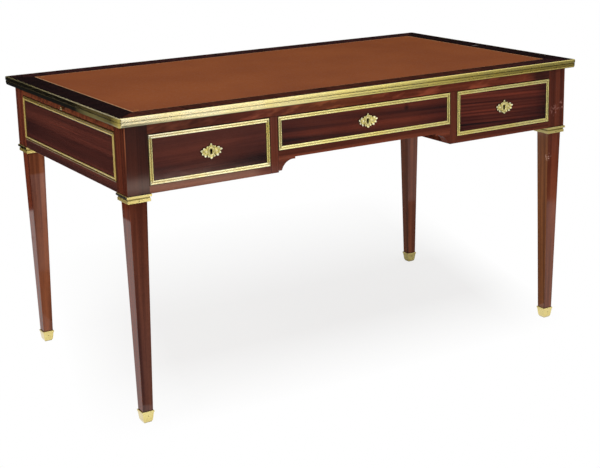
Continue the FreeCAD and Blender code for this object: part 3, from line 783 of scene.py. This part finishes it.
def tanned_hide(name, tan, shade):
    """Waxed hide: a fine pebbled grain, slow changes of tone and a few paler rubs."""
    material, tree, shader = start_finish(name)
    grain = add(tree, "TexVoronoi", {"Vector": place_on(tree), "Scale": 900.0}).outputs["Distance"]
    tone = noise(tree, evenly(tree, 4.0), 5.0, 0.55)
    fleck = noise(tree, evenly(tree, 160.0), 3.0, 0.6)
    colour = blend(tree, spread(tree, tone, 0.36, 0.66), shade, tan)
    colour = blend(tree, spread(tree, fleck, 0.55, 0.75, 0.0, 0.16), colour, paint(168, 104, 62))
    bump = add(tree, "Bump", {"Strength": 0.18, "Distance": 0.0004, "Height": grain})
    join(tree, shader, {
        "Base Color": colour,
        "Roughness": spread(tree, fleck, 0.3, 0.7, 0.52, 0.66),
        "Normal": bump.outputs["Normal"],
        "Specular IOR Level": 0.03,
    })
    return material


def tooled_gilding(name):
    """A line of gold leaf pressed into the hide, worn through in places."""
    material, tree, shader = start_finish(name)
    worn = noise(tree, evenly(tree, 220.0), 4.0, 0.65)
    join(tree, shader, {
        "Base Color": blend(tree, spread(tree, worn, 0.42, 0.60), paint(190, 152, 108), paint(148, 102, 66)),
        "Roughness": spread(tree, worn, 0.3, 0.7, 0.35, 0.6),
        "Specular IOR Level": 0.1,
    })
    return material


hide_tan = tanned_hide("leather_tan", paint(123, 64, 27), paint(114, 57, 23))
hide_blind = tanned_hide("leather_blind_line", paint(104, 53, 21), paint(94, 46, 18))
hide_gilding = tooled_gilding("leather_gilding")
gilt_margin = 0.0010
gilt_width = 0.0028
blind_margin = 0.0068
blind_width = 0.0020
line_depth = 0.00015
line_slope = 0.0002

# A small ring and dot are tooled in each corner of the writing leather
ring_inset = 0.018
ring_radius = 0.0048
ring_half_width = 0.0009
dot_radius = 0.0017
low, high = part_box("writing_leather")
tree = hide_tan.node_tree
ring_gold = paint(150, 102, 52)
ring_centre = (high.x - ring_inset, high.y - ring_inset, high.z)
apart = distance(tree, folded_place(tree), ring_centre)
lay_over(hide_tan, within(tree, apart, ring_radius, ring_half_width), ring_gold)
lay_over(hide_tan, spread(tree, apart, dot_radius, dot_radius * 1.1, 1.0, 0.0), ring_gold)


def tooled_hide(name, node):
    """A sheet of hide with a gilt line and a blind line pressed in near its edge, cut to a node's outline."""
    low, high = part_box(node)
    middle = (low + high) / 2
    bm = bmesh.new()
    bmesh.ops.create_grid(bm, x_segments=1, y_segments=1, size=0.5)
    bmesh.ops.scale(bm, verts=bm.verts, vec=(high.x - low.x, high.y - low.y, 1.0))
    bmesh.ops.translate(bm, verts=bm.verts, vec=(middle.x, middle.y, high.z))
    field = list(bm.faces)
    for margin, width, finish in ((gilt_margin, gilt_width, 1), (blind_margin, blind_width, 2)):
        bmesh.ops.inset_region(bm, faces=field, thickness=margin, use_boundary=True, use_even_offset=True)
        line = bmesh.ops.inset_region(bm, faces=field, thickness=width, use_even_offset=True)["faces"]
        for faces, depth in ((line + field, -line_depth), (field, line_depth)):
            bmesh.ops.inset_region(bm, faces=faces, thickness=line_slope, depth=depth, use_even_offset=True)
        for face in line:
            face.material_index = finish
    rim = [edge for edge in bm.edges if edge.is_boundary]
    walls = bmesh.ops.extrude_edge_only(bm, edges=rim)["geom"]
    foot = only(walls, bmesh.types.BMVert)
    bmesh.ops.translate(bm, verts=foot, vec=(0, 0, low.z - high.z))
    bmesh.ops.contextual_create(bm, geom=foot)
    bmesh.ops.recalc_face_normals(bm, faces=bm.faces)
    piece = finished_piece(name, bm, hide_tan, hide_gilding, hide_blind, smooth=False)
    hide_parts(node)
    return piece


knob_brass = burnished_brass("brass_knobs", paint(150, 124, 66), paint(112, 88, 42), 0.18, 0.004)
for end in ("left", "right"):
    give(rail_mahogany, "slide_board_" + end)
    give(knob_brass, "slide_knob_" + end)
    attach(tooled_hide("slide_hide_" + end, "slide_leather_" + end), "slide_" + end)


# Top: an oak board with a broad crossbanded border, stained almost black, round the writing leather.
# A heavy brass moulding of two bands is mitred round its edge and stands level with the surface.

def black_crossbanding(name, half_length, half_depth):
    """Dark veneer laid across the border: the grain runs outwards on each of the four sides."""
    material, tree, shader = start_finish(name)
    reach = []
    for axis, half in (("X", half_length), ("Y", half_depth)):
        size = reckon(tree, "ABSOLUTE", coordinate(tree, axis))
        reach.append(reckon(tree, "SUBTRACT", size, half))
    on_end = reckon(tree, "GREATER_THAN", reach[0], reach[1])
    across_front = noise(tree, stretched(tree, "Y", 6.0, 260.0), 4.0, 0.6)
    across_end = noise(tree, stretched(tree, "X", 6.0, 260.0), 4.0, 0.6)
    figure = blend(tree, on_end, across_front, across_end)
    shade = spread(tree, figure, 0.35, 0.7)
    on_front = blend(tree, shade, paint(26, 14, 16), paint(64, 34, 34))
    front = spread(tree, coordinate(tree, "Y"), -0.1, 0.1, 1.0, 0.0)
    faded = both(tree, front, spread(tree, coordinate(tree, "X"), 0.30, 0.60, 1.0, 0.0))
    on_front = blend(tree, faded, on_front, (1.75, 1.50, 0.90, 1.0), "MULTIPLY")
    colour = blend(tree, on_end, on_front, blend(tree, shade, paint(12, 8, 10), paint(38, 21, 20)))
    soft, arris = rubbed_edges(tree, 0.0004, 0.001)
    join(tree, shader, {
        "Base Color": colour,
        "Roughness": 0.35,
        "Normal": soft,
        "Specular IOR Level": 0.0,
        "Coat Weight": 0.4,
        "Coat Roughness": 0.08,
        "Coat IOR": 1.4,
    })
    return material


def either(tree, first, second):
    """A mask that is 1 where one of two masks is."""
    return reckon(tree, "MAXIMUM", first, second)


low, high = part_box("top_border")
border_black = black_crossbanding("border_black", high.x, high.y)
tree = border_black.node_tree
# A pale grey patch lies on the border near its right end
rubs = noise(tree, stretched(tree, "X", 60.0, 150.0), 2.0)
grey_patch = both(tree, near(tree, (0.650, 0.010, high.z), 0.004, 0.013), spread(tree, rubs, 0.40, 0.56))
lay_over(border_black, grey_patch, paint(112, 108, 106))
give(border_black, "top_border")
give(oak_lengthways, "top_panel")

# The edge's brass has a painted highlight that pales it at the left of the front, painted duller light that
# yellows it to the right, and painted shade on its lower band towards the right
edge_brass = burnished_brass("brass_edge", paint(242, 228, 150), paint(226, 206, 118), 0.24, 0.003)
low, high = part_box("top_edge_moulding")
band_split = low.z + 0.0110
groove_height = low.z + 0.0120
groove_half_height = 0.0013
rounding_foot = low.z + 0.0006
rounding_top = low.z + 0.0022
tree = edge_brass.node_tree
along = coordinate(tree, "X")
back = coordinate(tree, "Y")
height = coordinate(tree, "Z")
front_side = looking_against(tree, "Y", -0.8, -0.4)
left_side = looking_against(tree, "X", -0.4, -0.2)
tint(edge_brass, both(tree, front_side, spread(tree, along, -0.6, 0.0, 1.0, 0.0)), (0.94, 0.98, 1.60))
tint(edge_brass, spread(tree, along, -0.3, 0.2), (1.0, 0.98, 0.70))
lower_band = spread(tree, height, band_split - band_blur, band_split + band_blur, 1.0, 0.0)
tint(edge_brass, both(tree, lower_band, spread(tree, along, 0.1, 0.6)), (0.74, 0.68, 0.52))

# Dirt darkens the groove, most at the right and on the left side, and dirt and painted shade darken the
# rounding underneath
# The left side has a painted dark reflection on its upper band, its falling band and its front part, where it
# is also made duller, and is golden right at its front corner
left_dark_reflection = both(tree, left_side, spread(tree, back, -0.38, -0.12, 1.0, 0.0))
tint(edge_brass, left_dark_reflection, (0.15, 0.13, 0.06))
soiled = either(tree, spread(tree, along, -0.3, 0.2, 0.45, 1.0), left_side)
groove = within(tree, height, groove_height, groove_half_height)
tint(edge_brass, both(tree, groove, soiled), (0.30, 0.26, 0.16))
upper_left = both(tree, left_side, spread(tree, lower_band, 0.0, 1.0, 1.0, 0.0))
tint(edge_brass, upper_left, (0.50, 0.45, 0.42))
falling = both(tree, both(tree, left_side, lower_band), spread(tree, left_dark_reflection, 0.0, 1.0, 1.0, 0.42))
underneath = spread(tree, height, rounding_foot, rounding_top, 0.9, 0.0)
painted_dark_and_dull = either(tree, falling, underneath)
lay_over(edge_brass, painted_dark_and_dull, paint(12, 10, 5))
golden_corner = both(tree, left_side, spread(tree, back, low.y + 0.006, low.y + 0.050, 0.75, 0.0))
lay_over(edge_brass, golden_corner, paint(196, 178, 92))
shader = shader_of(edge_brass)
burnish = shader.inputs["Roughness"].links[0].from_socket
dull = either(tree, painted_dark_and_dull, spread(tree, left_dark_reflection, 0.0, 1.0, 0.0, 0.6))
join(tree, shader, {
    "Roughness": either(tree, burnish, painted_dark_and_dull),
    "Metallic": spread(tree, dull, 0.0, 1.0, 1.0, 0.0),
    "Specular IOR Level": 0.1,
    "Coat Weight": spread(tree, painted_dark_and_dull, 0.0, 0.8, 1.0, 0.0),
})
give(edge_brass, "top_edge_moulding")
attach(tooled_hide("writing_hide", "writing_leather"), "desk")


# Studio: a round sheet of white paper under the desk, with black card round it so that polish and
# brass have something dark to show, a broad overhead light, a key from the left and a front light.

paper_radius = 2.45
paper_centre = (0.0, -0.25)
shade_slant = -0.3
card_height = 1.6
front_card_edge = -0.6


def show_white(tree, glow_share):
    """White to the eye and in reflections, and lit as usual for everything else."""
    path = add(tree, "LightPath")
    seen = path.outputs["Is Camera Ray"]
    for kind in ("Is Glossy Ray", "Is Transmission Ray"):
        seen = either(tree, seen, path.outputs[kind])
    return both(tree, seen, glow_share)


# A painted shadow makes the paper a little greyer under the desk, in a band that slants to the right as it
# goes back
bm = bmesh.new()
bmesh.ops.create_circle(bm, cap_ends=True, segments=128, radius=paper_radius)
bmesh.ops.translate(bm, verts=bm.verts, vec=(*paper_centre, 0.0))
paper_white = bpy.data.materials.new("paper_white")
paper_white.use_nodes = True
tree = paper_white.node_tree
tree.nodes.clear()
back = coordinate(tree, "Y")
along = reckon(tree, "MULTIPLY_ADD", back, shade_slant, coordinate(tree, "X"))
shade = both(tree, spread(tree, along, -0.70, -0.40), spread(tree, along, 0.62, 0.82, 1.0, 0.0))
shade = both(tree, shade, spread(tree, back, -0.42, -0.02))
shade = both(tree, shade, spread(tree, back, 0.30, 1.20, 1.0, 0.0))
glow_share = spread(tree, shade, 0.0, 1.0, 1.0, 0.80)
glow_strength = spread(tree, shade, 0.0, 1.0, 1.0, 0.92)
paper = add(tree, "BsdfDiffuse", {"Color": (0.86, 0.86, 0.86, 1.0)}).outputs["BSDF"]
glow = add(tree, "Emission", {"Color": (1.0, 1.0, 1.0, 1.0), "Strength": glow_strength}).outputs["Emission"]
mixed = add(tree, "MixShader", {0: show_white(tree, glow_share), 1: paper, 2: glow}).outputs["Shader"]
add(tree, "OutputMaterial", {"Surface": mixed})
finished_piece("paper", bm, paper_white, smooth=False)


def matt_card(name, grey):
    """Dull card of one grey."""
    material, tree, shader = start_finish(name)
    join(tree, shader, {"Base Color": (grey, grey, grey, 1.0), "Roughness": 0.9, "Specular IOR Level": 0.0})
    return material


def reflected_only(piece):
    """Card that darkens reflections, and neither shows, shades nor casts a shadow."""
    piece.visible_camera = False
    piece.visible_diffuse = False
    piece.visible_shadow = False
    piece.visible_transmission = False


bm = bmesh.new()
bmesh.ops.create_cone(bm, cap_ends=False, segments=96, radius1=paper_radius, radius2=paper_radius,
                      depth=card_height)
bmesh.ops.translate(bm, verts=bm.verts, vec=(*paper_centre, card_height / 2.0))
card_black = matt_card("card_black", 0.012)
card_grey = matt_card("card_grey", 0.30)
card_dusk = matt_card("card_dusk", 0.17)
for face in bm.faces:
    face.material_index = 1 if face.calc_center_median().y < front_card_edge else 0
reflected_only(finished_piece("card_ring", bm, card_black, card_dusk, smooth=False))
flat_cards = (
    ("front_left", card_black, (-0.19, -1.40), (0.34, 2.1), 23.5),
    ("front_right", card_black, (1.03, -1.70), (0.60, 1.10), 0.0),
    ("right", card_black, (2.01, -1.84), (1.00, 1.50), 19.0),
    ("under", card_grey, (0.46, 0.82), (2.08, 2.15), 0.0),
    ("under_left", card_grey, (-0.757, 1.142), (0.12, 0.56), 40.4),
    ("back_left", card_black, (-1.50, 1.80), (2.2, 0.72), 40.0),
)
card_lift = 0.001
for name, card, middle, size, turn in flat_cards:
    bm = bmesh.new()
    bmesh.ops.create_grid(bm, x_segments=1, y_segments=1, size=0.5)
    bmesh.ops.scale(bm, verts=bm.verts, vec=(*size, 1.0))
    bmesh.ops.rotate(bm, verts=bm.verts, cent=(0, 0, 0), matrix=Matrix.Rotation(math.radians(turn), 3, "Z"))
    bmesh.ops.translate(bm, verts=bm.verts, vec=(*middle, card_lift))
    reflected_only(finished_piece("card_" + name, bm, card, smooth=False))

world = bpy.data.worlds.new("studio")
bpy.context.scene.world = world
world.use_nodes = True
tree = world.node_tree
tree.nodes.clear()
ambient = add(tree, "Background", {"Color": (1.0, 0.98, 0.96, 1.0), "Strength": 0.75}).outputs["Background"]
white = add(tree, "Background", {"Color": (1.0, 1.0, 1.0, 1.0), "Strength": 1.0}).outputs["Background"]
mixed = add(tree, "MixShader", {0: show_white(tree, 1.0), 1: ambient, 2: white}).outputs["Shader"]
add(tree, "OutputWorld", {"Surface": mixed})


def softbox(name, place, aim, width, height, power):
    """A soft area light that faces a point."""
    data = bpy.data.lights.new(name, "AREA")
    data.shape = "RECTANGLE"
    data.size = width
    data.size_y = height
    data.energy = power
    lamp = bpy.data.objects.new(name, data)
    lamp.location = place
    lamp.rotation_euler = (Vector(aim) - Vector(place)).to_track_quat("-Z", "Y").to_euler()
    lamp.visible_camera = False
    bpy.context.scene.collection.objects.link(lamp)
    return lamp


softbox("overhead", (0.0, -0.2, 3.1), (0.0, 0.0, 0.7), 2.6, 1.8, 14.0)
softbox("key_left", (-3.2, -0.7, 2.2), (0.0, 0.0, 0.5), 1.6, 1.4, 44.0)
softbox("fill", (0.9, -3.6, 1.7), (0.1, 0.0, 0.5), 2.4, 1.6, 20.0)
sheen = softbox("front", (0.72, -2.6, 0.71), (-0.2, 0.0, 0.71), 0.95, 0.98, 25.0)
sheen.visible_diffuse = False
glint = softbox("front_low", (0.5, -2.4, 0.03), (0.2, 0.0, 0.03), 0.62, 0.05, 0.30)
glint.visible_diffuse = False
glint.data.color = (1.0, 0.78, 0.62)

# The camera stands where the photograph was taken from
sensor_width = 36.0
picture_pixels = 600.0
focal_pixels = 1280.7
camera_place = (-1.8106, -2.9935, 1.3100)
camera_angles = (-31.38, -13.69, -1.32)
view = bpy.data.cameras.new("photograph")
view.sensor_width = sensor_width
view.lens = sensor_width * focal_pixels / picture_pixels
view.shift_y = -0.1
camera = bpy.data.objects.new("photograph", view)
yaw, pitch, roll = (math.radians(angle) for angle in camera_angles)
turn = Matrix.Rotation(yaw, 4, "Z") @ Matrix.Rotation(math.pi / 2.0 + pitch, 4, "X")
camera.matrix_world = Matrix.Translation(camera_place) @ turn @ Matrix.Rotation(roll, 4, "Z")
bpy.context.scene.collection.objects.link(camera)
bpy.context.scene.camera = camera
bpy.context.scene.view_settings.view_transform = "Standard"
